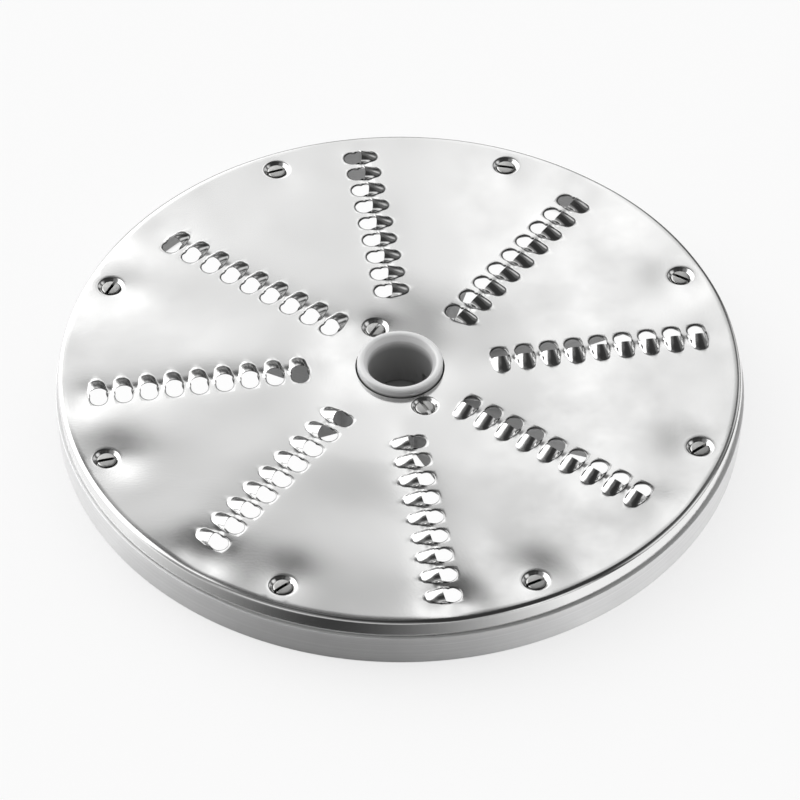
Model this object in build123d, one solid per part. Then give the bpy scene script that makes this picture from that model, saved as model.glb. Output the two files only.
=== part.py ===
"""Grating disc of a vegetable cutter: a toothed steel plate screwed to a cast body with a shaft hub.

Millimetres. +Z is up, the shaft axis is Z, and Z = 0 is the plane that the ring and the hub stand on.
Seen from above, the disc turns anticlockwise.
"""
from math import cos, radians, sin
import os

from build123d import *

# Overall
disc_diameter = 205.0
plate_height = 16.4      # top of the plate above the plane the disc stands on

# Steel plate: a shallow drawn pan
sheet = 0.8
skirt_inset = 0.9        # how far the skirt stands inside the ring's outer face
skirt_depth = 5.55
shoulder = 1.5           # bend between the plate and its skirt
shoulder_steps = 2       # flat cones that the bend is drawn with
dish_radius = 23.4       # the middle of the plate is pulled down to the hub
dish_depth = 0.6

# Cast body
ledge_gap = 0.35         # open line between the skirt and the ring's ledge
land_gap = 0.8           # room between the skirt's inside and the ring's land
ring_wall = 5.0          # width of the ring at its foot
hub_diameter = 44.0
collar_diameter = 25.6
collar_stand = 1.9       # top of the collar above the plate's rim
collar_edge = 1.0        # bevel round the top of the collar
collar_gap = 0.5         # open line between the collar and the plate
bore_diameter = 19.0
bore_lead = 1.3          # bevel at the mouth of the bore, across
bore_lead_depth = 1.7

# Webs between hub and ring
web_count = 8
web_root = 11.0          # width at the hub
web_waist = 4.4          # width along the middle
web_end = 9.2            # width under a rim screw
waist_start = 60.0       # radius where the web reaches its waist
end_length = 10.0        # length of the wide end, measured in from the ring
web_rise = 0.6           # underside of the webs above the plane the disc stands on

# Slot under the hub for the shaft's cross pin
drive_width = 6.5
drive_length = 30.0
drive_depth = 6.0

# Countersunk screws, with a pressed dimple in the sheet under each head
rim_screw_inset = 9.0    # from the disc's edge to the middle of a rim screw
hub_screw_radius = 17.9
hub_screw_angle = 90.0
head_diameter = 5.7
head_sink = 0.8          # head below the plate's face
shank_diameter = 3.0
shank_length = 8.0
shank_gap = 0.1          # between the shank and its hole, all round
head_gap = 0.1           # between the head and its dimple
hole_spare = 0.6         # hole past the end of the shank
slot_width = 0.8
slot_depth = 0.6
round_sides = 8          # flats round a small round feature
rim_slot_turns = (-54, -80, 85, 84, -10, -30, -88, 58)
hub_slot_turns = (-55, 6)

# Teeth: eight rows of nine. Four rows in turn start a quarter of the pitch apart,
# so that their cuts overlap.
row_lag = 15.0           # degrees from a web back to its row of teeth
teeth_per_row = 9
first_tooth = 26.15      # radius of the innermost tooth of all
last_inset = 10.725      # from the disc's edge to the middle of the outermost tooth
row_quarters = (2, 1, 3, 0)
tooth_width = 5.2        # of the hole and of the hood's mouth
hole_length = 4.9        # from the front of the hole to the cutting edge
hole_lead = 2.6          # front of the hole ahead of the row's radius
hole_sides = 4           # flats round the front of the hole
hood_height = 2.0
hood_length = 5.3        # from the cutting edge back to the tail
hood_sides = 5           # flats across the hood
hood_wall = 0.6          # at the crown and the tail
hood_foot = 0.1          # of the hood that lies in the sheet
mouth_crown = 2.3        # width of the mouth at its top
haunch_at = 3.7          # from the cutting edge back to where the hood turns down to the tail
haunch_size = 0.78       # size of the hood there, as a share of its mouth
haunch_drop = 0.68       # how far it is sunk there, so that the hood is a ramp

# Sizes that follow
disc_radius = disc_diameter / 2
skirt_radius = disc_radius - skirt_inset
land_radius = skirt_radius - sheet - land_gap
ring_inner = disc_radius - ring_wall
hub_radius = hub_diameter / 2
collar_radius = collar_diameter / 2
bore_radius = bore_diameter / 2
plate_hole = collar_radius + collar_gap
plate_under = plate_height - sheet
ledge_height = plate_height - skirt_depth - ledge_gap
collar_top = plate_height + collar_stand
hub_top = plate_height - dish_depth - sheet
rim_screw_radius = disc_radius - rim_screw_inset
quarters_per_pitch = len(row_quarters)
row_pitches = teeth_per_row - 1 + max(row_quarters) / quarters_per_pitch
tooth_pitch = (disc_radius - last_inset - first_tooth) / row_pitches
through = disc_diameter  # longer than anything it cuts


def dish(radius):
    """Height of the plate's face at a radius: flat, then a cone down to the hub."""
    inside = max(dish_radius - radius, 0.0)
    return plate_height - dish_depth * inside / (dish_radius - plate_hole)


def turned(*points):
    """Solid of revolution about the shaft axis from (radius, height) points."""
    profile = Plane.XZ * make_face(Polyline(*points, close=True))
    return revolve(profile, axis=Axis.Z)


def polar(radius, angle, height=0.0):
    """Place at a radius and angle, its X axis pointing outwards."""
    return Rot(0, 0, angle) * Pos(radius, 0, height)


def flat_sided(*sections):
    """Solid with flat sides through like sections of (x, y, z) points. A last section of one point is a tip."""
    sides = []
    for low, high in zip(sections, sections[1:]):
        for i, corner in enumerate(low):
            following = (i + 1) % len(low)
            beyond = [high[0]] if len(high) == 1 else [high[following], high[i]]
            sides.append(Face(Wire.make_polygon([corner, low[following], *beyond])))
    ends = [Face(Wire.make_polygon(end)) for end in (sections[0], sections[-1]) if len(end) > 1]
    return Solid(Shell(sides + ends))


def many_sided(*stations):
    """Small round solid through (radius, height) stations, drawn with a few flat sides."""
    turns = [radians(360 * i / round_sides) for i in range(round_sides)]
    return flat_sided(*[[(radius * cos(a), radius * sin(a), height) for a in turns] for radius, height in stations])


# Screws and their dimples. Heights are measured from the plate's face, and every cone is at 45 degrees.
head_radius = head_diameter / 2
shank_radius = shank_diameter / 2
hole_radius = shank_radius + shank_gap
dimple_radius = head_radius + head_sink + head_gap
dimple_end = hole_radius - dimple_radius
sheet_drop = sheet * 2 ** 0.5
screw_end = -head_sink - shank_length


def screw(slot_turn):
    """Slotted countersunk screw, its head sunk in the dimple."""
    neck = shank_radius - head_radius - head_sink
    body = many_sided((shank_radius, screw_end), (shank_radius, neck), (head_radius, -head_sink))
    slot = Pos(0, 0, -head_sink) * Rot(0, 0, slot_turn) * Box(head_diameter * 2, slot_width, slot_depth * 2)
    return body - slot


def dimple_outside():
    """Underside of the pressed dimple, down to the edge of its hole, its top inside the sheet."""
    middle = sheet / 2
    return many_sided((hole_radius, dimple_end - sheet_drop), (dimple_radius + sheet_drop - middle, -middle))


def dimple_inside():
    """What the dimple leaves open: the cone for the head and the hole for the shank."""
    return many_sided((hole_radius, screw_end), (hole_radius, dimple_end), (dimple_radius + sheet, sheet))


def screw_seat():
    """Recess in the casting: a cone for the dimple, then the hole for the shank."""
    cone_end = dimple_end - sheet_drop
    wide = dimple_radius + sheet_drop + sheet
    return many_sided((hole_radius, screw_end - hole_spare), (hole_radius, cone_end), (wide, sheet))


def screw_places():
    """Place of every screw on the plate's face, with the turn of its slot."""
    step = 360 / web_count
    rim = [(polar(rim_screw_radius, step * i, plate_height), rim_slot_turns[i % len(rim_slot_turns)])
           for i in range(web_count)]
    height = dish(hub_screw_radius)
    hub = [(polar(hub_screw_radius, hub_screw_angle + 180 * i, height), turn)
           for i, turn in enumerate(hub_slot_turns)]
    return rim, hub


# One tooth. Its X axis runs back from the cutting edge to the tail, and Z = 0 is the plate's face.
def arch(width, height, sides):
    """Points of a half ellipse that stands on the plate, from one side to the other."""
    turns = [180 * i / sides for i in range(sides + 1)]
    return [(cos(radians(a)) * width / 2, sin(radians(a)) * height) for a in turns]


def hood():
    """Outside of the raised hood: a flat-sided arch that falls to the haunch and then to its tail."""
    crown = arch(tooth_width, hood_height, hood_sides)
    foot = [(-tooth_width / 2, -hood_foot), (tooth_width / 2, -hood_foot)]
    mouth = [(0, y, z) for y, z in crown + foot]
    haunch = [(haunch_at, y * haunch_size, z * haunch_size - haunch_drop) for _, y, z in mouth]
    return flat_sided(mouth, haunch, [(hood_length, 0, 0)])


def tooth_opening():
    """Round-fronted hole ahead of the cutting edge, with the open space under the hood behind it."""
    half = tooth_width / 2
    centre = hole_length - half
    front = [(-centre - y, x) for x, y in arch(tooth_width, half, hole_sides)]
    outline = make_face(Polyline((0, half), *front, (0, -half), close=True))
    hole = extrude(outline, amount=through, both=True)
    crown = hood_height - hood_wall
    section = [(half, -sheet), (mouth_crown / 2, crown), (-mouth_crown / 2, crown), (-half, -sheet)]
    mouth = [(0, y, z) for y, z in section]
    return hole + flat_sided(mouth, [(hood_length - hood_wall, 0, -sheet)])


def tooth_places():
    """Place of every tooth: rows that trail the webs, the cutting edge leading anticlockwise."""
    places = []
    for row in range(web_count):
        angle = 360 / web_count * row - row_lag
        start = first_tooth + tooth_pitch * row_quarters[row % quarters_per_pitch] / quarters_per_pitch
        for i in range(teeth_per_row):
            radius = start + tooth_pitch * i
            spot = Rot(0, 0, angle) * Pos(radius, hole_lead - hole_length, plate_height)
            places.append(spot * Rot(0, 0, -90))
    return places


def grating_plate():
    """Drawn sheet with its skirt, dimples and punched teeth."""
    bend_in = skirt_radius - shoulder
    bend_low = plate_height - shoulder
    steps = [90 / shoulder_steps * i for i in range(shoulder_steps + 1)]
    bend = [(bend_in + shoulder * sin(radians(a)), bend_low + shoulder * cos(radians(a))) for a in steps]
    skirt_foot = plate_height - skirt_depth
    pan = turned(
        (plate_hole, dish(plate_hole)),
        (dish_radius, plate_height),
        *bend,
        (skirt_radius, skirt_foot),
        (skirt_radius - sheet, skirt_foot),
        (skirt_radius - sheet, plate_under),
        (dish_radius, plate_under),
        (plate_hole, dish(plate_hole) - sheet),
    )
    rim, hub = screw_places()
    teeth = tooth_places()
    raised = hood()
    opening = tooth_opening()
    pressed = dimple_outside()
    recess = dimple_inside()
    pan += [place * raised for place in teeth]
    pan += [place * pressed for place, _ in rim + hub]
    pan -= [place * opening for place in teeth]
    pan -= [place * recess for place, _ in rim + hub]
    return pan


def web():
    """Outline of one web along X, wide at the hub, thin in the middle, wide again under the rim screw."""
    root_at = (bore_radius + hub_radius) / 2
    end_at = ring_inner - end_length
    tip_at = (ring_inner + land_radius) / 2
    flare = (web_end - web_waist) / 2
    side = [
        (root_at, web_root / 2),
        (waist_start, web_waist / 2),
        (end_at, web_waist / 2),
        (end_at + flare, web_end / 2),
        (tip_at, web_end / 2),
    ]
    mirrored = [(x, -y) for x, y in reversed(side)]
    outline = make_face(Polyline(*side, *mirrored, close=True))
    return Pos(0, 0, web_rise) * extrude(outline, amount=plate_under - web_rise)


def disc_body():
    """Casting: ring, webs and hub in one piece."""
    ring = turned(
        (ring_inner, 0),
        (disc_radius, 0),
        (disc_radius, ledge_height),
        (land_radius, ledge_height),
        (land_radius, plate_under),
        (ring_inner, plate_under),
    )
    hub = turned(
        (0, 0),
        (hub_radius, 0),
        (hub_radius, hub_top),
        (collar_radius, hub_top),
        (collar_radius, collar_top - collar_edge),
        (collar_radius - collar_edge, collar_top),
        (0, collar_top),
    )
    arm = web()
    webs = [Rot(0, 0, 360 / web_count * i) * arm for i in range(web_count)]
    dish_room = turned((0, hub_top), (dish_radius, hub_top), (dish_radius, through), (0, through))
    body = ring + webs - dish_room + hub
    bore = turned(
        (0, -through),
        (bore_radius, -through),
        (bore_radius, collar_top - bore_lead_depth),
        (bore_radius + bore_lead, collar_top),
        (bore_radius + bore_lead, through),
        (0, through),
    )
    drive = Box(drive_length, drive_width, 2 * drive_depth)
    rim, hub_places = screw_places()
    recess = screw_seat()
    seats = [place * recess for place, _ in rim + hub_places]
    return body - [bore, drive, *seats]


def screws(places):
    """Separate screws of one group."""
    return Compound(children=[place * screw(turn) for place, turn in places])


os.makedirs("parts", exist_ok=True)
rim_places, hub_places = screw_places()
export_step(grating_plate(), "parts/grating_plate.step")
export_step(disc_body(), "parts/disc_body.step")
export_step(screws(rim_places), "parts/rim_screws.step")
export_step(screws(hub_places), "parts/hub_screws.step")
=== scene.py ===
import bpy
import bmesh
import numpy as np
from mathutils import Euler, Matrix, Vector
from mathutils.geometry import delaunay_2d_cdt


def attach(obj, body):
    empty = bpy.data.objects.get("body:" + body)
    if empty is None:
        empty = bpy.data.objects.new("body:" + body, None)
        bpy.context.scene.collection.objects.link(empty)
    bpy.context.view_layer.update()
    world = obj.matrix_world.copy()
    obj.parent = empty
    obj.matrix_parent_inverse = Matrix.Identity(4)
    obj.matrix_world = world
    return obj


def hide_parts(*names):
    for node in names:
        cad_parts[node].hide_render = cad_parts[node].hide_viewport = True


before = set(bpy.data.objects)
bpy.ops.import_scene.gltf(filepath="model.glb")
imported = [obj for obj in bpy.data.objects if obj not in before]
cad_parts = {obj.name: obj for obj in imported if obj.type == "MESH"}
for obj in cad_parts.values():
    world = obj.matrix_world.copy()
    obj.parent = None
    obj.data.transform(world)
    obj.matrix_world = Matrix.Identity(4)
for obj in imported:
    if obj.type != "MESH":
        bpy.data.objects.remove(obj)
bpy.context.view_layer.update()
mm = 0.001  # sizes below are in millimetres, meshes in metres
nearly = 0.01  # places this near to each other count as one
tiny = 1e-6  # numbers this near to each other are equal


def gridFaces(rows, cols, wrap=False, start=0):
    # quads of a grid of points, row after row, the last column joined to the first if wrap
    i = np.arange(rows - 1)[:, None] * cols
    j = np.arange(cols if wrap else cols - 1)[None, :]
    k = (j + 1) % cols
    return start + np.stack([i + j, i + k, i + cols + k, i + cols + j], -1).reshape(-1, 4)


def polar(radius, degrees):
    # level place at a distance and an angle from the shaft axis
    a = np.radians(degrees)
    return radius * np.cos(a), radius * np.sin(a)


def circle(radius, count):
    # even points round the shaft axis
    a = np.linspace(0, 2 * np.pi, count, endpoint=False)
    return radius * np.stack([np.cos(a), np.sin(a)], 1)


def revolved(radii, heights, segments):
    # profile carried round the shaft axis: its radius times the cosine and the sine of each turn
    a = np.linspace(0, 2 * np.pi, segments, endpoint=False)
    r, h = np.asarray(radii)[:, None], np.asarray(heights)[:, None]
    points = np.stack([r * np.cos(a), r * np.sin(a), h + 0 * a], -1).reshape(-1, 3)
    return points, gridFaces(len(radii), segments, wrap=True)


def rounded(corners, radius, steps=4):
    # polygon with each corner replaced by a quadratic arc that starts and ends that radius from it
    p = np.asarray(corners, float)
    reach = np.broadcast_to(np.asarray(radius, float), len(p))[:, None]
    before, after = np.roll(p, 1, 0) - p, np.roll(p, -1, 0) - p
    before /= np.linalg.norm(before, axis=1)[:, None]
    after /= np.linalg.norm(after, axis=1)[:, None]
    t = np.linspace(0, 1, steps + 1)[None, :, None]
    a, b = p + before * reach, p + after * reach
    arcs = (1 - t) ** 2 * a[:, None] + 2 * t * (1 - t) * p[:, None] + t ** 2 * b[:, None]
    return arcs.reshape(-1, 2)


def ringSolid(corners, rounds, segments, steps=4):
    # closed outline with rounded corners, carried round the shaft axis
    p = rounded(corners, rounds, steps)
    p = np.concatenate([p, p[:1]])
    points, faces = revolved(p[:, 0], p[:, 1], segments)
    return points, faces.tolist()


def turned(points, degrees):
    # points turned about the shaft axis
    a = np.radians(degrees)
    m = np.array([[np.cos(a), -np.sin(a), 0], [np.sin(a), np.cos(a), 0], [0, 0, 1]])
    return points @ m.T


def softened(value, sharpness):
    # value where it is above zero and otherwise nothing, with a soft corner between
    return np.logaddexp(0, sharpness * value) / sharpness


def joined(parts):
    # several (points, faces) as one
    points, faces, n = [], [], 0
    for p, f in parts:
        points.append(p)
        faces.extend([[k + n for k in corners] for corners in f])
        n += len(p)
    return np.concatenate(points), faces


def weldedMesh(name, points, faces, weld):
    # mesh in metres with points nearer than weld made one, normals outwards
    mesh = bpy.data.meshes.new(name)
    mesh.from_pydata((np.asarray(points) * mm).tolist(), [], [list(corners) for corners in faces])
    bm = bmesh.new()
    bm.from_mesh(mesh)
    bmesh.ops.remove_doubles(bm, verts=bm.verts, dist=weld * mm)
    bmesh.ops.recalc_face_normals(bm, faces=bm.faces)
    bm.to_mesh(mesh)
    bm.free()
    return mesh


def pointsOf(mesh):
    flat = np.empty(3 * len(mesh.vertices))
    mesh.vertices.foreach_get("co", flat)
    return flat.reshape(-1, 3) / mm


def carved(points, faces, tools, weld=0.0001):
    # closed shell with other closed shells cut out of it
    meshes = [weldedMesh("shell", p, f, weld) for p, f in [(points, faces)] + tools]
    solids = [bpy.data.objects.new("shell", mesh) for mesh in meshes]
    for solid in solids:
        bpy.context.scene.collection.objects.link(solid)
    for tool in solids[1:]:
        cut = solids[0].modifiers.new("cut", "BOOLEAN")
        cut.object, cut.operation, cut.solver = tool, "DIFFERENCE", "EXACT"
    bpy.context.view_layer.update()
    result = solids[0].evaluated_get(bpy.context.evaluated_depsgraph_get())
    result = bpy.data.meshes.new_from_object(result)
    kept = [list(polygon.vertices) for polygon in result.polygons]
    for solid in solids:
        bpy.data.objects.remove(solid)
    return pointsOf(result), kept


def makePiece(name, points, faces, material, slotName, replaced, weld=0.0005, crisp=40):
    # smooth-shaded piece with sharp edges where its faces meet at more than crisp degrees
    mesh = weldedMesh(name, points, faces, weld)
    mesh.polygons.foreach_set("use_smooth", np.ones(len(mesh.polygons), bool))
    mesh.set_sharp_from_angle(angle=np.radians(crisp))
    mesh.materials.append(material)
    piece = bpy.data.objects.new(name, mesh)
    bpy.context.scene.collection.objects.link(piece)
    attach(piece, "root")
    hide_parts(*replaced)
    mesh.calc_loop_triangles()
    print(name, len(mesh.vertices), "points", len(mesh.loop_triangles), "triangles")
    return piece


def addPaintedShade(piece, amounts):
    # painted shade from 0 to 1 on each point, for the material to read
    shadeAmount = piece.data.attributes.new("shadeAmount", "FLOAT", "POINT")
    shadeAmount.data.foreach_set("value", amounts)


def fill(tree, node, inputs):
    # an input that is given another node's output is linked to it, and any other is set
    for key, value in inputs.items():
        if isinstance(value, bpy.types.NodeSocket):
            tree.links.new(value, node.inputs[key])
        else:
            node.inputs[key].default_value = value


def addNode(tree, kind, inputs=None, **settings):
    node = tree.nodes.new("ShaderNode" + kind)
    for key, value in settings.items():
        setattr(node, key, value)
    fill(tree, node, inputs or {})
    return node


def newMaterial(name):
    material = bpy.data.materials.new(name)
    material.use_nodes = True
    tree = material.node_tree
    return material, tree, tree.nodes["Principled BSDF"], addNode(tree, "TexCoord").outputs["Object"]


def noiseAt(tree, coords, scale, stretch=(1, 1, 1), detail=3.0, rough=0.55):
    place = addNode(tree, "Mapping", {"Vector": coords, "Scale": stretch}).outputs["Vector"]
    inputs = {"Vector": place, "Scale": scale, "Detail": detail, "Roughness": rough}
    return addNode(tree, "TexNoise", inputs).outputs["Fac"]


def spread(tree, value, span, start, end, kind="LINEAR"):
    # goes from start to end as value goes through the span, and stays there outside it
    inputs = {"Value": value, "From Min": span[0], "From Max": span[1], "To Min": start, "To Max": end}
    return addNode(tree, "MapRange", inputs, interpolation_type=kind).outputs["Result"]


def belt(tree, value, edges, kind="LINEAR"):
    # rises from 0 to 1 between the first two edges and falls again between the last two
    rise, drop = spread(tree, value, edges[:2], 0, 1, kind), spread(tree, value, edges[2:], 1, 0, kind)
    return times(tree, rise, drop)


def mathOf(tree, operation, a, b=0):
    return addNode(tree, "Math", {0: a, 1: b}, operation=operation).outputs["Value"]


def vectorOf(tree, operation, a, b=(0, 0, 0)):
    return addNode(tree, "VectorMath", {0: a, 1: b}, operation=operation).outputs["Value"]


def times(tree, first, *others):
    for value in others:
        first = mathOf(tree, "MULTIPLY", first, value)
    return first


def plus(tree, first, *others):
    for value in others:
        first = mathOf(tree, "ADD", first, value)
    return first


def grey(value):
    return value, value, value, 1


def colourMix(tree, share, below, above):
    inputs = {"Factor": share, "A": below, "B": above}
    return addNode(tree, "Mix", inputs, data_type="RGBA").outputs["Result"]


def withPaintedShade(tree, bare, shadeColour):
    # from the bare colour to the painted shade colour by the painted shade amount on the piece's points
    amount = addNode(tree, "Attribute", attribute_name="shadeAmount").outputs["Fac"]
    return colourMix(tree, amount, bare, shadeColour)


def bumpOf(tree, height, strength, depth, below=None):
    # bumps up to depth high, on top of those below
    inputs = {"Height": height, "Strength": strength, "Distance": depth * mm}
    if below is not None:
        inputs["Normal"] = below
    return addNode(tree, "Bump", inputs).outputs["Normal"]


contrast = (0.3, 0.7)  # the span that most of a noise texture's values lie in
polish = dict(colour=(0.86, 0.86, 0.855, 1), paintedShade=grey(0.06), rough=(0.10, 0.20), cloudScale=45,
              waveScale=28, waveRough=0.4, wave=0.18,
              streakScale=700, streakStretch=(1, 1, 0.02), streak=0.12, streakShare=0.5,
              skirtSlope=(0.2, 0.6), grainScale=1400, grain=0.01, grainShare=0.35)


def plateFinish():
    # mirror-polished sheet: clouded roughness, low waves and fine grain, upright streaks on the skirt,
    # painted shade round the holes
    material, tree, shader, coords = newMaterial("polishedPlate")
    cloud = noiseAt(tree, coords, polish["cloudScale"], detail=4)
    wave = noiseAt(tree, coords, polish["waveScale"], detail=1.5, rough=polish["waveRough"])
    grain = noiseAt(tree, coords, polish["grainScale"], detail=2)
    streak = noiseAt(tree, coords, polish["streakScale"], stretch=polish["streakStretch"])
    facing = addNode(tree, "NewGeometry").outputs["Normal"]
    upwards = mathOf(tree, "ABSOLUTE", addNode(tree, "SeparateXYZ", {0: facing}).outputs["Z"])
    streak = times(tree, streak, spread(tree, upwards, polish["skirtSlope"], 1, 0))
    normal = bumpOf(tree, wave, 1.0, polish["wave"])
    normal = bumpOf(tree, streak, polish["streakShare"], polish["streak"], normal)
    normal = bumpOf(tree, grain, polish["grainShare"], polish["grain"], normal)
    fill(tree, shader, {"Base Color": withPaintedShade(tree, polish["colour"], polish["paintedShade"]), "Metallic": 1.0,
                        "Roughness": spread(tree, cloud, contrast, *polish["rough"]), "Normal": normal})
    return material


satin = dict(colour=0.92, lineShade=0.8, boreShade=0.4, paintedShade=0.04, metal=0.5, hubMetal=0.12,
             rough=(0.30, 0.42), cloudScale=60, pitScale=900, pit=0.03, pitShare=0.3,
             lineScale=1600, lineStretch=(0.002, 0.002, 1), lineSpan=(0.35, 0.65), lineTone=(0.3, 1.3),
             line=0.06, lineShare=0.5,
             hubToRing=(30, 60), boreReach=(9.8, 10.8), boreLevel=(13.5, 16.8),
             collarLine=(12.2, 12.6, 17.0, 18.0), collarFoot=(15.2, 16.2),
             webSpan=(20, 23, 93, 96), webTop=(11, 14), webShade=0.35)


def castFinish():
    # satin casting with turning lines, level all round; the hub is blasted, so duller than the turned ring
    material, tree, shader, coords = newMaterial("satinCasting")
    cloud = noiseAt(tree, coords, satin["cloudScale"], detail=4)
    lines = noiseAt(tree, coords, satin["lineScale"], stretch=satin["lineStretch"])
    pits = noiseAt(tree, coords, satin["pitScale"])
    place = addNode(tree, "SeparateXYZ", {0: coords}).outputs
    level = addNode(tree, "CombineXYZ", {"X": place["X"], "Y": place["Y"]}).outputs[0]
    radius = times(tree, vectorOf(tree, "LENGTH", level), 1 / mm)
    height = times(tree, place["Z"], 1 / mm)
    tone = times(tree, cloud, spread(tree, lines, satin["lineSpan"], *satin["lineTone"]))
    colour = colourMix(tree, tone, grey(satin["colour"] * satin["lineShade"]), grey(satin["colour"]))
    # painted shade inside the bore
    boreShadeMask = spread(tree, height, satin["boreLevel"], 1, 0)
    boreShadeMask = times(tree, boreShadeMask, spread(tree, radius, satin["boreReach"], 1, 0))
    colour = colourMix(tree, boreShadeMask, colour, grey(satin["colour"] * satin["boreShade"]))
    # painted shade where the collar meets the plate, and some on top of the webs under the sheet
    foot = spread(tree, height, satin["collarFoot"], 1, 0)
    foot = times(tree, foot, belt(tree, radius, satin["collarLine"]))
    webs = spread(tree, height, satin["webTop"], 0, satin["webShade"])
    webs = times(tree, webs, belt(tree, radius, satin["webSpan"]))
    colour = colourMix(tree, mathOf(tree, "MAXIMUM", foot, webs), colour, grey(satin["paintedShade"]))
    normal = bumpOf(tree, lines, satin["lineShare"], satin["line"])
    normal = bumpOf(tree, pits, satin["pitShare"], satin["pit"], normal)
    metal = spread(tree, radius, satin["hubToRing"], satin["hubMetal"], satin["metal"])
    fill(tree, shader, {"Base Color": colour, "Metallic": metal, "Normal": normal,
                        "Roughness": spread(tree, lines, contrast, *satin["rough"])})
    return material


machined = dict(colour=(0.62, 0.62, 0.61, 1), paintedShade=grey(0.02), rough=(0.26, 0.42),
                scuffScale=1100, scuff=0.04, scuffShare=0.4)


def screwFinish():
    # scuffed plain steel, with painted shade on the slots' floors
    material, tree, shader, coords = newMaterial("screwSteel")
    scuff = noiseAt(tree, coords, machined["scuffScale"], detail=4)
    fill(tree, shader, {"Base Color": withPaintedShade(tree, machined["colour"], machined["paintedShade"]), "Metallic": 1.0,
                        "Roughness": spread(tree, scuff, contrast, *machined["rough"]),
                        "Normal": bumpOf(tree, scuff, machined["scuffShare"], machined["scuff"])})
    return material


plate = dict(top=16.4, sheet=0.8, skirtRadius=101.6, skirtFoot=10.85, bend=1.5, holeRadius=13.3,
             dishRadius=43.0, dishDepth=0.8, dishPower=1.7,
             segments=240, holePoints=72, holeSlack=0.985, bendPoints=9, skirtPoints=4, skirtStart=0.4,
             mesh=2.0, meshRise=0.866, meshGap=0.55, meshEnd=5.2, rimRings=(1.2, 2.6, 4.2), ringGap=0.35,
             faceWeld=0.002, sheetWeld=0.0002, crisp=50)
flatRadius = plate["skirtRadius"] - plate["bend"]
# the plate's teeth: the rows, the hole, the hood, the grid of one tooth, the sheet at its edge and the
# painted shade round the hole
tooth = dict(rows=8, lag=15.0, perRow=9, pitch=7.5, first=26.15, quarters=(2, 1, 3, 0),
             holeHalf=2.55, edgeAt=-2.3, edgeSweep=0.5, roll=0.12, rollShare=0.25, rollStart=1.2,
             hoodHalf=2.72, hoodLength=5.3, hoodHeight=2.0, hoodPower=1.5, hoodFade=1.1,
             taper=0.20, tailTaper=0.34, tailPower=4, tailEnd=1.15, archBlend=60.0, rampBlend=12.0,
             patchFront=4.3, patchBack=-10.3, margins=(0, 0.10, 0.20, 0.50, 1.0), tails=(0.12, 0.4, 1.0),
             hoodPoints=17, rampPoints=10, frontPoints=5, sidePoints=4,
             edgeSheet=0.22, edgeReach=1.6, edgeFront=2.4, thinBeside=0.1, thinSpan=(-2.2, 4.0),
             legThin=0.8, legAcross=0.5, legAlong=1.3, paintedShade=0.9, shadeReach=0.52)
rowTurn = 360.0 / tooth["rows"]  # from one row, rim screw or web to the next
# the plate's screws and the dimples that they sit in
screwSpots = dict(rimRadius=93.5, hubRadius=17.9, hubAngle=90.0, dimple=3.85, depth=4.0, steep=0.215,
                  edge=9.0, floorRadii=(1.6, 2.1, 2.6), wallFoot=2.95, wallMore=0.35, wallPoints=8, points=36,
                  rimPatch=5.6, hubPatch=4.42, patchSlack=0.996)
# the plate's dents: depths and reaches at the rim screws, the hub screws and the rows' ends, along the rows
# and between the teeth, and waves by their length, heading and phase
dents = dict(rims=(0.36, 0.16, 0.10, 0.16, 0.32, 0.26, 0.44, 0.38), rimAt=90.0,
             rimReach=(8.5, 8, 8, 8, 8.5, 8, 9, 8.5), hubs=(0.24, 0.10), hubReach=5.5,
             rowEnds=(0.08, 0.10, 0.06, 0.06, 0.12, 0.40, 0.44, 0.26), rowEndAt=95.0,
             rowEndReach=(6.5, 6.5, 6, 6, 7, 8.5, 6.5, 9),
             row=0.11, rowReach=5.5, rowMiddle=3.0, rowSpan=(23.0, 96.0), rowFade=2.0,
             crease=0.16, creaseReach=1.2, creasePower=6, edge=4.0, rimShare=0.85, wave=0.035,
             waves=((62.0, 20.0, 0.4), (47.0, 95.0, 1.9), (79.0, 140.0, 3.3), (38.0, 58.0, 5.0)))


def rowAngle(row):
    return np.radians(rowTurn * row - tooth["lag"])


def rowStart(row):
    # radius of a row's first tooth: four rows in turn start a quarter of the pitch apart
    quarters = tooth["quarters"]
    return tooth["first"] + tooth["pitch"] * quarters[row % len(quarters)] / len(quarters)


def inRow(p, row):
    # points as seen from a row: how far out along it, and how far forwards across it
    a = rowAngle(row)
    return p[:, 0] * np.cos(a) + p[:, 1] * np.sin(a), p[:, 1] * np.cos(a) - p[:, 0] * np.sin(a)


def inTooth(p, row):
    # points as seen from the nearest tooth of a row: across it, and forwards
    u, v = inRow(p, row)
    u = u - rowStart(row)
    return u - tooth["pitch"] * np.clip(np.round(u / tooth["pitch"]), 0, tooth["perRow"] - 1), v


def screwPlaces():
    # radius and angle of the rim screws and of the hub screws
    rim = [(screwSpots["rimRadius"], rowTurn * i) for i in range(tooth["rows"])]
    hub = [(screwSpots["hubRadius"], screwSpots["hubAngle"] + 180.0 * i) for i in range(2)]
    return rim, hub


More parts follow.
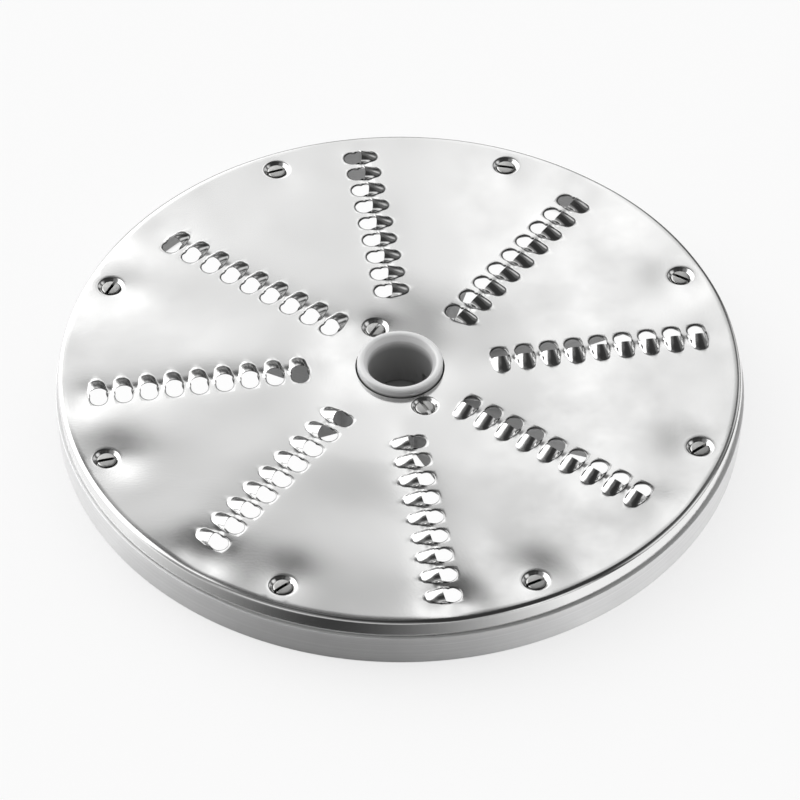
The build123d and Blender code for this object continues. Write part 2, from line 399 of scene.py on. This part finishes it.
def plateLevel(x, y):
    # height of the sheet's face: flat, sinking as a power of the way in towards the hub, drawn down
    # as a bell curve round each screw and row, creased between the teeth, with long low waves all over
    r = np.hypot(x, y)
    inwards = np.clip((plate["dishRadius"] - r) / (plate["dishRadius"] - plate["holeRadius"]), 0, None)
    z = plate["top"] - plate["dishDepth"] * inwards ** plate["dishPower"]
    sag = np.zeros_like(z)
    rim = np.radians(rowTurn * np.arange(tooth["rows"]))
    lag = rim - np.radians(tooth["lag"])
    hub = np.radians(screwSpots["hubAngle"] + np.array([0.0, 180.0]))
    for radius, angles, depth, reach in ((dents["rimAt"], rim, dents["rims"], dents["rimReach"]),
                                         (screwSpots["hubRadius"], hub, dents["hubs"], dents["hubReach"]),
                                         (dents["rowEndAt"], lag, dents["rowEnds"], dents["rowEndReach"])):
        away = np.hypot(x[..., None] - radius * np.cos(angles), y[..., None] - radius * np.sin(angles))
        sag += (np.asarray(depth) * np.exp(-(away / np.asarray(reach)) ** 2)).sum(-1)
    u = x[..., None] * np.cos(lag) + y[..., None] * np.sin(lag)
    v = y[..., None] * np.cos(lag) - x[..., None] * np.sin(lag) + dents["rowMiddle"]
    start, end = dents["rowSpan"]
    gate = 1 / (1 + np.exp(-(u - start) / dents["rowFade"])) / (1 + np.exp((u - end) / dents["rowFade"]))
    along = (u - np.array([rowStart(i) for i in range(tooth["rows"])])) / tooth["pitch"]
    inside = (along > 0) & (along < tooth["perRow"] - 1)
    between = np.where(inside, np.sin(np.pi * along) ** dents["creasePower"], 0)
    sag += (gate * (dents["row"] * np.exp(-(v / dents["rowReach"]) ** 2)
                    + dents["crease"] * between * np.exp(-(v / dents["creaseReach"]) ** 2))).sum(-1)
    for length, heading, phase in dents["waves"]:
        path = x * np.cos(np.radians(heading)) + y * np.sin(np.radians(heading))
        sag += dents["wave"] * np.sin(2 * np.pi * path / length + phase)
    t = np.clip((flatRadius - r) / dents["edge"], 0, 1)
    return z - sag * (dents["rimShare"] + (1 - dents["rimShare"]) * t * t * (3 - 2 * t))


def hoodLevel(u, v):
    # raised hood: a ramp, highest at the cutting edge and falling as a power of the way to its tail, times an
    # arch, the root of one less the squared share of its half width; the arch narrows towards the tail, both
    # end softly, and ahead of the edge the hood dies away as a bell curve beside the hole
    d = tooth["edgeAt"] - v
    t = np.clip(d, 0, None) / tooth["hoodLength"]
    tail = np.clip(t, 0, tooth["tailEnd"]) ** tooth["tailPower"]
    half = tooth["hoodHalf"] * (1 - tooth["taper"] * t - tooth["tailTaper"] * tail)
    arch = np.sqrt(softened(1 - (u / half) ** 2, tooth["archBlend"]))
    ramp = softened(1 - t ** tooth["hoodPower"], tooth["rampBlend"])
    z = tooth["hoodHeight"] * arch * ramp * np.exp(-(np.clip(-d, 0, None) / tooth["hoodFade"]) ** 2)
    return np.where(np.abs(u) > tooth["pitch"] / 2 - nearly, 0.0, z)


def roundHole(across, side, front):
    # a tooth's one side, its front and its other side, as one line of points
    return np.concatenate([np.stack([0 * side + across, side], 1), front,
                           np.stack([0 * side - across, side[::-1]], 1)])


def toothPatch():
    # flat grid of one tooth: u outwards, v forwards, a block behind the cutting edge and one round the hole
    w, half, front = tooth["holeHalf"], tooth["pitch"] / 2, tooth["patchFront"]
    margin = w + (half - w) * np.array(tooth["margins"])
    hood = w * np.sin(np.radians(np.linspace(-90, 90, tooth["hoodPoints"])))
    u = np.concatenate([-margin[:0:-1], hood, margin[1:]])
    back, length = tooth["edgeAt"] - tooth["patchBack"], tooth["hoodLength"]
    d = np.concatenate([length * np.sin(np.radians(np.linspace(0, 90, tooth["rampPoints"]))),
                        length + (back - length) * np.array(tooth["tails"])])
    sweep = tooth["edgeSweep"] * np.clip(1 - (u / w) ** 2, 0, None)  # the edge's middle lies further back
    behind = np.stack([np.broadcast_to(u, (len(d), len(u))),
                       tooth["edgeAt"] - sweep - d[:, None] * (1 - sweep / back)], -1).reshape(-1, 2)
    corner, n = np.degrees(np.arctan2(front, half)), tooth["frontPoints"]
    turns = np.radians(np.concatenate([np.linspace(0, corner, n), np.linspace(corner, 90, n)[1:]]))
    turns = np.concatenate([turns, np.pi - turns[-2::-1]])
    side = np.linspace(tooth["edgeAt"], 0, tooth["sidePoints"])[:-1]
    way = np.stack([np.cos(turns), np.sin(turns)], 1)
    reach = np.minimum(half / np.maximum(np.abs(way[:, 0]), tiny), front / np.maximum(way[:, 1], tiny))
    inner, outer = roundHole(w, side, w * way), roundHole(half, side, reach[:, None] * way)
    share = ((margin - w) / (half - w))[:, None, None]
    ahead = inner * (1 - share) + outer * share
    roll = np.clip(1 - share[..., 0] / tooth["rollShare"], 0, 1) ** 2  # the hole's edge bends down
    roll = roll * np.clip((ahead[..., 1] - tooth["edgeAt"]) / tooth["rollStart"], 0, 1)
    roll = np.concatenate([np.zeros(len(behind)), tooth["roll"] * roll.reshape(-1)])
    points = np.concatenate([behind, ahead.reshape(-1, 2)])
    faces = [gridFaces(len(d), len(u)), gridFaces(len(margin), len(inner), start=len(behind))]
    edge = np.abs(np.abs(points[:, 0]) - half) < tiny
    edge |= (np.abs(points[:, 1] - front) < tiny) | (np.abs(points[:, 1] - tooth["patchBack"]) < tiny)
    return points, np.concatenate(faces), edge, roll


def toothRow(row):
    # patches side by side along a radius
    patch, faces, edge, roll = toothPatch()
    n = tooth["perRow"]
    u = patch[None, :, 0] + (rowStart(row) + tooth["pitch"] * np.arange(n))[:, None]
    v = np.broadcast_to(patch[None, :, 1], u.shape)
    a = rowAngle(row)
    x, y = u * np.cos(a) - v * np.sin(a), u * np.sin(a) + v * np.cos(a)
    z = plateLevel(x, y) + hoodLevel(np.broadcast_to(patch[None, :, 0], u.shape), v) - roll
    points = np.stack([x, y, z], -1).reshape(-1, 3)
    many = (faces[None] + len(patch) * np.arange(n)[:, None, None]).reshape(-1, 4)
    return points, many, np.tile(edge, n)


def dimplePatch(radius, angle, reach):
    # pressed dimple: as deep as the hyperbolic tangent of the way in from its edge, which is rounded
    s = screwSpots
    wall = s["dimple"] + s["wallMore"]
    r = np.concatenate([s["floorRadii"], np.linspace(s["wallFoot"], wall, s["wallPoints"]),
                        [(wall + reach) / 2, reach]])
    a = np.linspace(0, 2 * np.pi, s["points"], endpoint=False)
    middle = polar(radius, angle)
    x, y = middle[0] + r[:, None] * np.cos(a), middle[1] + r[:, None] * np.sin(a)
    sink = s["depth"] * np.tanh(s["steep"] * softened(s["dimple"] - r, s["edge"]))
    sink[-1] = 0
    points = np.stack([x, y, plateLevel(x, y) - sink[:, None]], -1).reshape(-1, 3)
    edge = np.repeat(np.arange(len(r)) == len(r) - 1, len(a))
    return points, gridFaces(len(r), len(a), wrap=True), edge


def outerEdges(points, faces, edge):
    # edges used by one face only, both ends on the patch's outline, as points and pairs of them
    unique, index = np.unique(np.round(points[:, :2], 4), axis=0, return_inverse=True)
    index = index.reshape(-1)
    f = index[faces]
    pairs = np.sort(np.concatenate([f[:, [i, (i + 1) % 4]] for i in range(4)]), axis=1)
    pairs, count = np.unique(pairs, axis=0, return_counts=True)
    on = np.zeros(len(unique), bool)
    on[index] = edge
    pairs = pairs[(count == 1) & on[pairs].all(1)]
    used, flat = np.unique(pairs, return_inverse=True)
    return unique[used], flat.reshape(-1, 2)


def keptFlat(p, margin):
    # true where a point lies on the open flat, at least margin from every other patch
    r = np.hypot(p[:, 0], p[:, 1])
    keep = (r < flatRadius - margin) & (r > plate["holeRadius"] * plate["holeSlack"] + margin)
    half, length = tooth["pitch"] / 2, tooth["pitch"] * (tooth["perRow"] - 1)
    for row in range(tooth["rows"]):
        u, v = inRow(p, row)
        start = rowStart(row)
        inside = (u > start - half - margin) & (u < start + half + length + margin)
        keep &= ~(inside & (v > tooth["patchBack"] - margin) & (v < tooth["patchFront"] + margin))
    for places, reach in zip(screwPlaces(), (screwSpots["rimPatch"], screwSpots["hubPatch"])):
        for place in places:
            x, y = polar(*place)
            keep &= np.hypot(p[:, 0] - x, p[:, 1] - y) > reach * screwSpots["patchSlack"] + margin
    return keep


def plateField(rows, dimples):
    # the flat between the rows, the dimples, the hub's hole and the bend, filled with even triangles
    loops = [outerEdges(*part) for part in rows + dimples]
    for radius, count in ((flatRadius, plate["segments"]), (plate["holeRadius"], plate["holePoints"])):
        k = np.arange(count)
        loops.append((circle(radius, count), np.stack([k, (k + 1) % count], 1)))
    step = plate["mesh"]
    n = int(flatRadius / step) + 2
    i, j = np.meshgrid(np.arange(-n, n + 1), np.arange(-2 * n, 2 * n + 1))
    grid = np.stack([(i + 0.5 * (j % 2)) * step, j * step * plate["meshRise"]], -1).reshape(-1, 2)
    grid = grid[np.hypot(*grid.T) < flatRadius - plate["meshEnd"]]
    inner = [grid[keptFlat(grid, step * plate["meshGap"])]]
    for inset in plate["rimRings"]:
        ring = circle(flatRadius - inset, plate["segments"])
        inner.append(ring[keptFlat(ring, step * plate["ringGap"])])
    starts = np.cumsum([0] + [len(p) for p, _ in loops])
    edges = np.concatenate([pairs + start for (_, pairs), start in zip(loops, starts)])
    flat = [Vector(p) for p in np.concatenate([p for p, _ in loops] + inner).tolist()]
    result = delaunay_2d_cdt(flat, edges.tolist(), [], 0, 10 * tiny)
    xy = np.array([tuple(p) for p in result[0]])
    faces = np.array(result[2])
    onHole = np.hypot(xy[:, 0], xy[:, 1]) < plate["holeRadius"] + nearly
    faces = faces[keptFlat(xy[faces].mean(1), 0.0) & ~onHole[faces].all(1)]
    return np.column_stack([xy, plateLevel(xy[:, 0], xy[:, 1])]), faces


def plateSkirt():
    # quarter bend and straight skirt; what dents the bend dies away down the skirt
    a = np.radians(np.linspace(0, 90, plate["bendPoints"]))
    n, top, foot = plate["skirtPoints"], plate["top"], plate["skirtFoot"]
    r = np.concatenate([flatRadius + plate["bend"] * np.sin(a), np.full(n, plate["skirtRadius"])])
    z = np.concatenate([top - plate["bend"] * (1 - np.cos(a)),
                        np.linspace(top - plate["bend"] - plate["skirtStart"], foot, n)])
    points, faces = revolved(r, z, plate["segments"])
    rings = points.reshape(len(r), -1, 3)
    dent = top - plateLevel(rings[0, :, 0], rings[0, :, 1])
    rings[:, :, 2] -= dent * ((z - foot) / (top - foot))[:, None]
    return rings.reshape(-1, 3), faces[:, ::-1]


def sheetDepth(p):
    # full thickness, thinner as a bell curve towards each cutting edge and most at the corners of its mouth
    depth = np.full(len(p), plate["sheet"])
    for row in range(tooth["rows"]):
        across, v = inTooth(p, row)
        d = tooth["edgeAt"] - v
        near = (d > tooth["thinSpan"][0]) & (d < tooth["thinSpan"][1])
        near &= np.abs(across) < tooth["hoodHalf"] + tooth["thinBeside"]
        beside = (np.abs(across) - tooth["holeHalf"]) / tooth["legAcross"]
        leg = np.exp(-beside ** 2 - (d / tooth["legAlong"]) ** 2)
        bell = np.exp(-(np.where(d < 0, tooth["edgeFront"], 1) * d / tooth["edgeReach"]) ** 2)
        thin = (plate["sheet"] - tooth["edgeSheet"]) * bell
        depth = np.where(near, (plate["sheet"] - thin) * (1 - tooth["legThin"] * leg), depth)
    return depth


def holeShadeLine(p):
    # painted shade: a dark line round each hole, from its edge to nothing a short reach outside it, ahead of
    # the cutting edge
    paintedShade = np.zeros(len(p))
    for row in range(tooth["rows"]):
        across, v = inTooth(p, row)
        away = np.hypot(across, np.clip(v, 0, None)) - tooth["holeHalf"]
        line = tooth["paintedShade"] * np.clip(1 - away / tooth["shadeReach"], 0, 1)
        paintedShade = np.maximum(paintedShade, np.where(v > tooth["edgeAt"] + nearly, line, 0))
    return paintedShade


def thickSheet(face):
    # the sheet's lower side is its face moved in along its normals, with a rim round every open edge
    bm = bmesh.new()
    bm.from_mesh(face)
    n = len(bm.verts)
    rim = [edge.link_loops[0] for edge in bm.edges if edge.is_boundary]
    rim = [[loop.link_loop_next.vert.index, loop.vert.index] for loop in rim]
    bm.free()
    top, normals = pointsOf(face), np.empty(3 * n)
    face.vertices.foreach_get("normal", normals)
    upper = [list(polygon.vertices) for polygon in face.polygons]
    faces = upper + [[k + n for k in reversed(corners)] for corners in upper]
    faces += [[i, j, j + n, i + n] for i, j in rim]
    return np.concatenate([top, top - normals.reshape(-1, 3) * sheetDepth(top)[:, None]]), faces


def buildPlate(material):
    rows = [toothRow(i) for i in range(tooth["rows"])]
    rim, hub = screwPlaces()
    dimples = [dimplePatch(*place, screwSpots["rimPatch"]) for place in rim]
    dimples += [dimplePatch(*place, screwSpots["hubPatch"]) for place in hub]
    parts = [part[:2] for part in rows + dimples] + [plateField(rows, dimples), plateSkirt()]
    face = weldedMesh("sheetFace", *joined(parts), plate["faceWeld"])
    if sum(polygon.normal.z * polygon.area for polygon in face.polygons) < 0:
        face.flip_normals()
    piece = makePiece("gratingPlate", *thickSheet(face), material, "plate_steel", ["grating_plate"],
                      weld=plate["sheetWeld"], crisp=plate["crisp"])
    # painted shade round the holes, kept on the points
    addPaintedShade(piece, holeShadeLine(pointsOf(piece.data)))


# casting: the ring, the hub, the slot for the drive pin, the screw seats and the webs
casting = dict(outer=102.5, foot=102.2, ledge=10.5, land=99.2, landTop=15.4, inner=97.5, segments=240,
               ringRounds=(0.5, 0.35, 0.3, 0.3, 0.3, 0.5),
               hubRadius=22.0, hubTop=14.2, collar=12.8, collarTop=18.3, lip=10.9, bore=9.5, bevel=2.4,
               hubSegments=128, hubRounds=(0.3, 0.6, 0.4, 0.4, 1.15, 0.72, 1.2), hubSteps=6,
               slotWidth=6.5, slotLength=30.0, slotDepth=6.0, slotBelow=1.0, slotRounds=(0.2, 0.2, 0.8, 0.8),
               seat=5.05, seatAbove=1.0, shankHole=1.65, shankDepth=9.5, seatPoints=32,
               webFoot=0.6, webGap=0.15, webRise=20.0, webCorner=((0.75, 0.0), (0.93, 0.3), (1, 0.9)),
               webAt=(16, 60, 86.5, 90, 98.4), webHalf=(5.5, 2.2, 2.2, 4.6, 4.6),
               webStations=(19, 22, 25, 28, 32, 36, 40, 48, 54, 60, 68, 76, 84, 86.5, 88, 89, 90, 91.5, 95,
                            98.4))


def bodyRing():
    # L-shaped section with rounded corners, carried round the axis
    c = casting
    corners = [(c["foot"], 0), (c["outer"], c["ledge"]), (c["land"], c["ledge"]), (c["land"], c["landTop"]),
               (c["inner"], c["landTop"]), (c["inner"], 0)]
    return ringSolid(corners, c["ringRounds"], c["segments"])


def seatCutter(radius, angle):
    # room for a dimple and its screw: a 45 degree cone and a shank hole, turned about the screw's axis
    c = casting
    x, y = polar(radius, angle)
    level = plateLevel(np.array([x]), np.array([y]))[0]
    above, hole, bottom = c["seatAbove"], c["shankHole"], -c["shankDepth"]
    r = np.array([0, c["seat"] + above, hole, hole, 0])
    z = level + np.array([above, above, hole - c["seat"], bottom, bottom])
    points, faces = revolved(r, z, c["seatPoints"])
    return points + np.array([x, y, 0]), faces.tolist()


def bodyHub():
    # stepped boss with a collar, bored through, screw seats in its shoulder, a slot for the drive pin below
    c = casting
    corners = [(c["bore"], 0), (c["hubRadius"], 0), (c["hubRadius"], c["hubTop"]), (c["collar"], c["hubTop"]),
               (c["collar"], c["collarTop"]), (c["lip"], c["collarTop"]),
               (c["bore"], c["collarTop"] - c["bevel"])]
    points, faces = ringSolid(corners, c["hubRounds"], c["hubSegments"], c["hubSteps"])
    x, y, low, high = c["slotLength"] / 2, c["slotWidth"] / 2, -c["slotBelow"], c["slotDepth"]
    section = rounded([(-y, low), (y, low), (y, high), (-y, high)], c["slotRounds"])
    n = len(section)
    ends = [np.column_stack([np.full(n, at), section]) for at in (-x, x)]
    slot = np.concatenate(ends), gridFaces(2, n, wrap=True).tolist() + [list(range(n)), list(range(n, 2 * n))]
    return carved(points, faces, [slot] + [seatCutter(*place) for place in screwPlaces()[1]])


def bodyWeb():
    # rounded box section carried out along a radius, its half width set by the radius, its top by the lowest
    # sheet above any web, with a screw seat near its end
    c = casting
    x = np.array(c["webStations"])
    half = np.interp(x, c["webAt"], c["webHalf"])
    right = [(share, c["webFoot"] + rise) for share, rise in c["webCorner"]] + [(1, c["webRise"])]
    ring = np.array([(-share, rise) for share, rise in reversed(right)] + right)
    y = half[:, None] * ring[None, :, 0]
    turns = np.radians(rowTurn * np.arange(tooth["rows"]))
    under = plateLevel(x[:, None] * np.cos(turns), x[:, None] * np.sin(turns)).min(1)
    under = under - plate["sheet"] - c["webGap"]
    z = np.minimum(np.broadcast_to(ring[None, :, 1], y.shape), under[:, None])
    points = np.stack([np.broadcast_to(x[:, None], y.shape), y, z], -1).reshape(-1, 3)
    faces = gridFaces(len(x), len(ring), wrap=True).tolist()
    faces += [list(range(len(ring))), list(range(len(points) - len(ring), len(points)))]
    return carved(points, faces, [seatCutter(screwSpots["rimRadius"], 0.0)])


def buildBody(material):
    web, webFaces = bodyWeb()
    webs = [(turned(web, rowTurn * i), webFaces) for i in range(tooth["rows"])]
    points, faces = joined([bodyRing(), bodyHub()] + webs)
    makePiece("discBody", points, faces, material, "cast_aluminium", ["disc_body"])


screws = dict(head=2.78, sink=0.5, crown=0.10, edgeWidth=0.10, edgeDrop=0.12, slotWidth=1.0, slotDepth=0.9,
              shank=1.5, length=8.0, chords=11, chordPoints=15, crisp=32,
              rimTurns=(-54, -80, 85, 84, -10, -30, -88, 58), hubTurns=(-55, 6), rimShade=1.0, hubShade=0.45)


def screwSolid():
    # head as chords along the slot, each as long as the circle is wide there, crowned or on the slot's floor,
    # then a cone and a shank
    s = screws
    head, gap = s["head"], s["slotWidth"] / 2
    half = np.concatenate([[gap, gap], np.linspace(gap, head, s["chords"])[1:]])
    q = np.concatenate([-half[::-1], half])
    low = np.zeros(len(q), bool)
    low[len(half) - 1:len(half) + 1] = True
    p = np.sin(np.radians(np.linspace(-90, 90, s["chordPoints"])))
    chord = np.sqrt(np.clip(head ** 2 - q ** 2, 0, None))
    x, y = p[None] * chord[:, None], np.broadcast_to(q[:, None], (len(q), len(p)))
    share = np.hypot(x, y) / head
    drop = np.clip((share - (1 - s["edgeWidth"])) / s["edgeWidth"], 0, 1) ** 2
    crown = s["crown"] * (1 - share ** 2) - s["edgeDrop"] * drop
    z = np.where(low[:, None], -s["slotDepth"], crown) - s["sink"]
    top = np.stack([x, y, z], -1)
    rim = np.concatenate([top[:, -1], top[::-1, 0]])
    a = np.arctan2(rim[:, 1], rim[:, 0])
    rings = [rim]
    for r, h in ((s["shank"], s["shank"] - head), (s["shank"], -s["length"]), (0.0, -s["length"])):
        rings.append(np.stack([r * np.cos(a), r * np.sin(a), 0 * a + h - s["sink"]], -1))
    side = np.concatenate(rings), gridFaces(len(rings), len(rim), wrap=True)
    return joined([(top.reshape(-1, 3), gridFaces(len(q), len(p))), side])


def buildScrews(name, places, turns, paintedShade, material, replaced):
    # one screw per place, its slot turned, its head sunk from the sheet's face
    points, faces = screwSolid()
    parts, middles = [], []
    for (radius, angle), turn in zip(places, turns):
        at = np.array([radius, 0, 0])
        x, y, _ = turned(at, angle)
        level = plateLevel(np.array([x]), np.array([y]))[0]
        parts.append((turned(turned(points, turn) + at, angle) + np.array([0, 0, level]), faces))
        middles.append((x, y, level))
    piece = makePiece(name, *joined(parts), material, "screw_steel", replaced, crisp=screws["crisp"])
    # a point lies on the slot's floor when it is the slot's depth below the top of the nearest head
    p, middles = pointsOf(piece.data), np.array(middles)
    nearest = np.hypot(p[:, None, 0] - middles[:, 0], p[:, None, 1] - middles[:, 1]).argmin(1)
    below = middles[nearest, 2] - screws["sink"] - screws["slotDepth"] - p[:, 2]
    # painted shade on the slots' floors
    addPaintedShade(piece, paintedShade * (np.abs(below) < nearly))


floorLook = dict(size=3000.0, drop=0.3, colour=0.86, dark=0.25, rough=0.9, glow=0.70, under=0.98,
                 hub=21.0, disc=97.0, softEdge=1.0, frontAngle=233.466, sideCosine=0.72,
                 mirroredFront=0.05, mirroredSide=1.0, mirroredUnder=0.42)


def buildFloor():
    # pale floor that glows to the eye; in a mirror it is dim ahead of the disc and bright to its sides
    n, d = floorLook["size"] * mm, -floorLook["drop"] * mm
    mesh = bpy.data.meshes.new("paleFloor")
    mesh.from_pydata([(-n, -n, d), (n, -n, d), (n, n, d), (-n, n, d)], [], [(0, 1, 2, 3)])
    floor = bpy.data.objects.new("paleFloor", mesh)
    bpy.context.scene.collection.objects.link(floor)
    material, tree, shader, coords = newMaterial("paleFloor")
    path = addNode(tree, "LightPath").outputs
    away = times(tree, vectorOf(tree, "LENGTH", coords), 1 / mm)
    hub, disc, soft = floorLook["hub"], floorLook["disc"], floorLook["softEdge"]
    inside = spread(tree, away, (disc, disc + soft), 1, 0)
    # painted shade: under the hub the floor is darker and does not glow
    clear = spread(tree, away, (hub, hub + soft), 0, 1)  # dark under the hub, which stands on the floor
    fill(tree, shader, {"Base Color": spread(tree, clear, (0, 1), floorLook["dark"], floorLook["colour"]),
                        "Roughness": floorLook["rough"]})
    direct = mathOf(tree, "MAXIMUM", path["Is Camera Ray"], path["Is Transmission Ray"])
    # painted light: under the disc, where the disc shades it, the floor glows brighter, to the eye and in
    # mirrors
    direct = times(tree, direct, spread(tree, inside, (0, 1), floorLook["glow"], floorLook["under"]))
    # share of the way round from the disc's dim front: the cosine of the angle between them
    front = vectorOf(tree, "DOT_PRODUCT", coords, (*polar(1 / mm, floorLook["frontAngle"]), 0))
    cosine = mathOf(tree, "DIVIDE", front, away)
    around = spread(tree, cosine, (1, floorLook["sideCosine"]),
                    floorLook["mirroredFront"], floorLook["mirroredSide"])
    around = times(tree, around, mathOf(tree, "SUBTRACT", 1, inside))
    around = plus(tree, around, times(tree, inside, floorLook["mirroredUnder"]))
    white = addNode(tree, "Emission").outputs[0]
    mirrored = addNode(tree, "Emission", {"Strength": around}).outputs[0]

    def blend(share, below, above):
        return addNode(tree, "MixShader", {0: times(tree, share, clear), 1: below, 2: above}).outputs[0]

    seen = blend(path["Is Glossy Ray"], blend(direct, shader.outputs[0], white), mirrored)
    fill(tree, tree.nodes["Material Output"], {"Surface": seen})
    mesh.materials.append(material)


# light by where a mirror looks: side and ahead are parts of its level way, up is the way's height
studio = dict(turn=-24.54, base=0.03,
              panel=0.79, leftMore=0.4, leftTurn=(-0.62, -0.28), foot=(0.24, 0.44), footLight=0.05,
              leftFoot=(-0.02, 0.12), leftFootLight=0.3, top=(0.725, 0.80), aboveLight=0.07,
              slope=0.25, slopeHalf=0.15, leftRise=0.16,
              rightEnd=(0.10, 0.27), nearEnd=(-0.38, 0.0), pastLight=0.10,
              leftLamp=0.95, leftLampSide=(-0.10, -0.06), leftLampTop=(0.70, 0.718),
              rightLamp=0.6, rightLampSide=(0.015, 0.045), rightLampEnd=(0.07, 0.105), lampRest=0.3,
              strip=0.6, stripSide=(0.50, 0.60, 0.78, 0.90), stripUp=(0.10, 0.20, 0.52, 0.64),
              sidePanel=0.75, sidePanelSide=(0.93, 0.985), sidePanelUp=(0.06, 0.16, 0.55, 0.70),
              nearPanel=0.5, nearPanelAhead=(-0.8, -0.4), nearPanelUp=(0.04, 0.12, 0.38, 0.52),
              spill=(-0.9, 0.1), spillLight=(0.05, 1.2))


def buildLight():
    # a long soft panel on the far side that wraps round to the left, brighter where its two lamps are,
    # a strip and a panel at the right, a low panel at the near side, the rest of the room dark
    s = studio
    world = bpy.data.worlds.new("softPanels")
    bpy.context.scene.world = world
    world.use_nodes = True
    tree = world.node_tree
    way = addNode(tree, "TexCoord").outputs["Generated"]

    def smooth(value, span, start, end):
        return spread(tree, value, span, start, end, "SMOOTHSTEP")

    def smoothBelt(value, edges):
        return belt(tree, value, edges, "SMOOTHSTEP")

    right = vectorOf(tree, "DOT_PRODUCT", way, (*polar(1, s["turn"]), 0))
    far = vectorOf(tree, "DOT_PRODUCT", way, (*polar(1, s["turn"] + 90), 0))
    up = vectorOf(tree, "DOT_PRODUCT", way, (0, 0, 1))
    level = mathOf(tree, "SQRT", plus(tree, 1.0001, times(tree, -1, up, up)))  # a little over 0 straight up
    side, ahead = mathOf(tree, "DIVIDE", right, level), mathOf(tree, "DIVIDE", far, level)
    leftness, rightness = smooth(side, s["leftTurn"], 1, 0), smooth(side, s["leftTurn"], 0, 1)
    # the panel's upper edge falls a little to the left, then rises where the panel turns the corner
    middle = mathOf(tree, "MAXIMUM", mathOf(tree, "MINIMUM", side, s["slopeHalf"]), -s["slopeHalf"])
    top = plus(tree, up, times(tree, -s["slope"], middle), times(tree, -s["leftRise"], leftness))
    foot = plus(tree, times(tree, smooth(up, s["foot"], s["footLight"], 1), rightness),
                times(tree, smooth(up, s["leftFoot"], s["leftFootLight"], 1), leftness))
    leftLamp = times(tree, smooth(side, s["leftLampSide"], s["leftLamp"], 0),
                     smooth(up, s["leftLampTop"], 1, s["lampRest"]))
    rightLamp = times(tree, smooth(side, s["rightLampSide"], 0, s["rightLamp"]),
                      smooth(side, s["rightLampEnd"], 1, s["lampRest"]))
    panel = times(tree, foot, smooth(top, s["top"], 1, s["aboveLight"]),
                  smooth(side, s["rightEnd"], 1, s["pastLight"]),
                  smooth(ahead, s["nearEnd"], s["pastLight"], 1),
                  plus(tree, 1, leftLamp, rightLamp),
                  plus(tree, s["panel"], times(tree, s["leftMore"], leftness)))
    strip = times(tree, s["strip"], smoothBelt(side, s["stripSide"]), smoothBelt(up, s["stripUp"]))
    sidePanel = times(tree, smooth(side, s["sidePanelSide"], 0, s["sidePanel"]),
                      smoothBelt(up, s["sidePanelUp"]))
    nearPanel = times(tree, smooth(ahead, s["nearPanelAhead"], s["nearPanel"], 0),
                      smoothBelt(up, s["nearPanelUp"]))
    mirrored = plus(tree, panel, nearPanel, strip, sidePanel, s["base"])
    spilled = smooth(far, s["spill"], *s["spillLight"])  # for matt surfaces, little from the near side
    diffuse = addNode(tree, "LightPath").outputs["Is Diffuse Ray"]
    strength = plus(tree, times(tree, mirrored, mathOf(tree, "SUBTRACT", 1, diffuse)),
                    times(tree, spilled, diffuse))
    fill(tree, tree.nodes["Background"], {"Strength": strength, "Color": grey(1)})


view = dict(place=(-353.119, -773.418, 877.563), tilt=44.1344, roll=-0.2382, turn=-24.2988, lens=183.3665,
            sensor=36.0, nearest=10.0, farthest=20000.0)


def buildCamera():
    data = bpy.data.cameras.new("view")
    data.sensor_width, data.lens = view["sensor"], view["lens"]
    data.clip_start, data.clip_end = view["nearest"] * mm, view["farthest"] * mm
    camera = bpy.data.objects.new("view", data)
    bpy.context.scene.collection.objects.link(camera)
    angles = Euler(np.radians([view["tilt"], view["roll"], view["turn"]]))
    camera.matrix_world = Matrix.Translation(Vector(view["place"]) * mm) @ angles.to_matrix().to_4x4()
    bpy.context.scene.camera = camera


bpy.context.scene.view_settings.view_transform = "Standard"
buildCamera()
buildFloor()
buildLight()
print("stage ready")
buildPlate(plateFinish())
buildBody(castFinish())
screwSteel = screwFinish()
rimPlaces, hubPlaces = screwPlaces()
buildScrews("rimScrews", rimPlaces, screws["rimTurns"], screws["rimShade"], screwSteel, ["rim_screws"])
buildScrews("hubScrews", hubPlaces, screws["hubTurns"], screws["hubShade"], screwSteel, ["hub_screws"])
print("pieces ready")
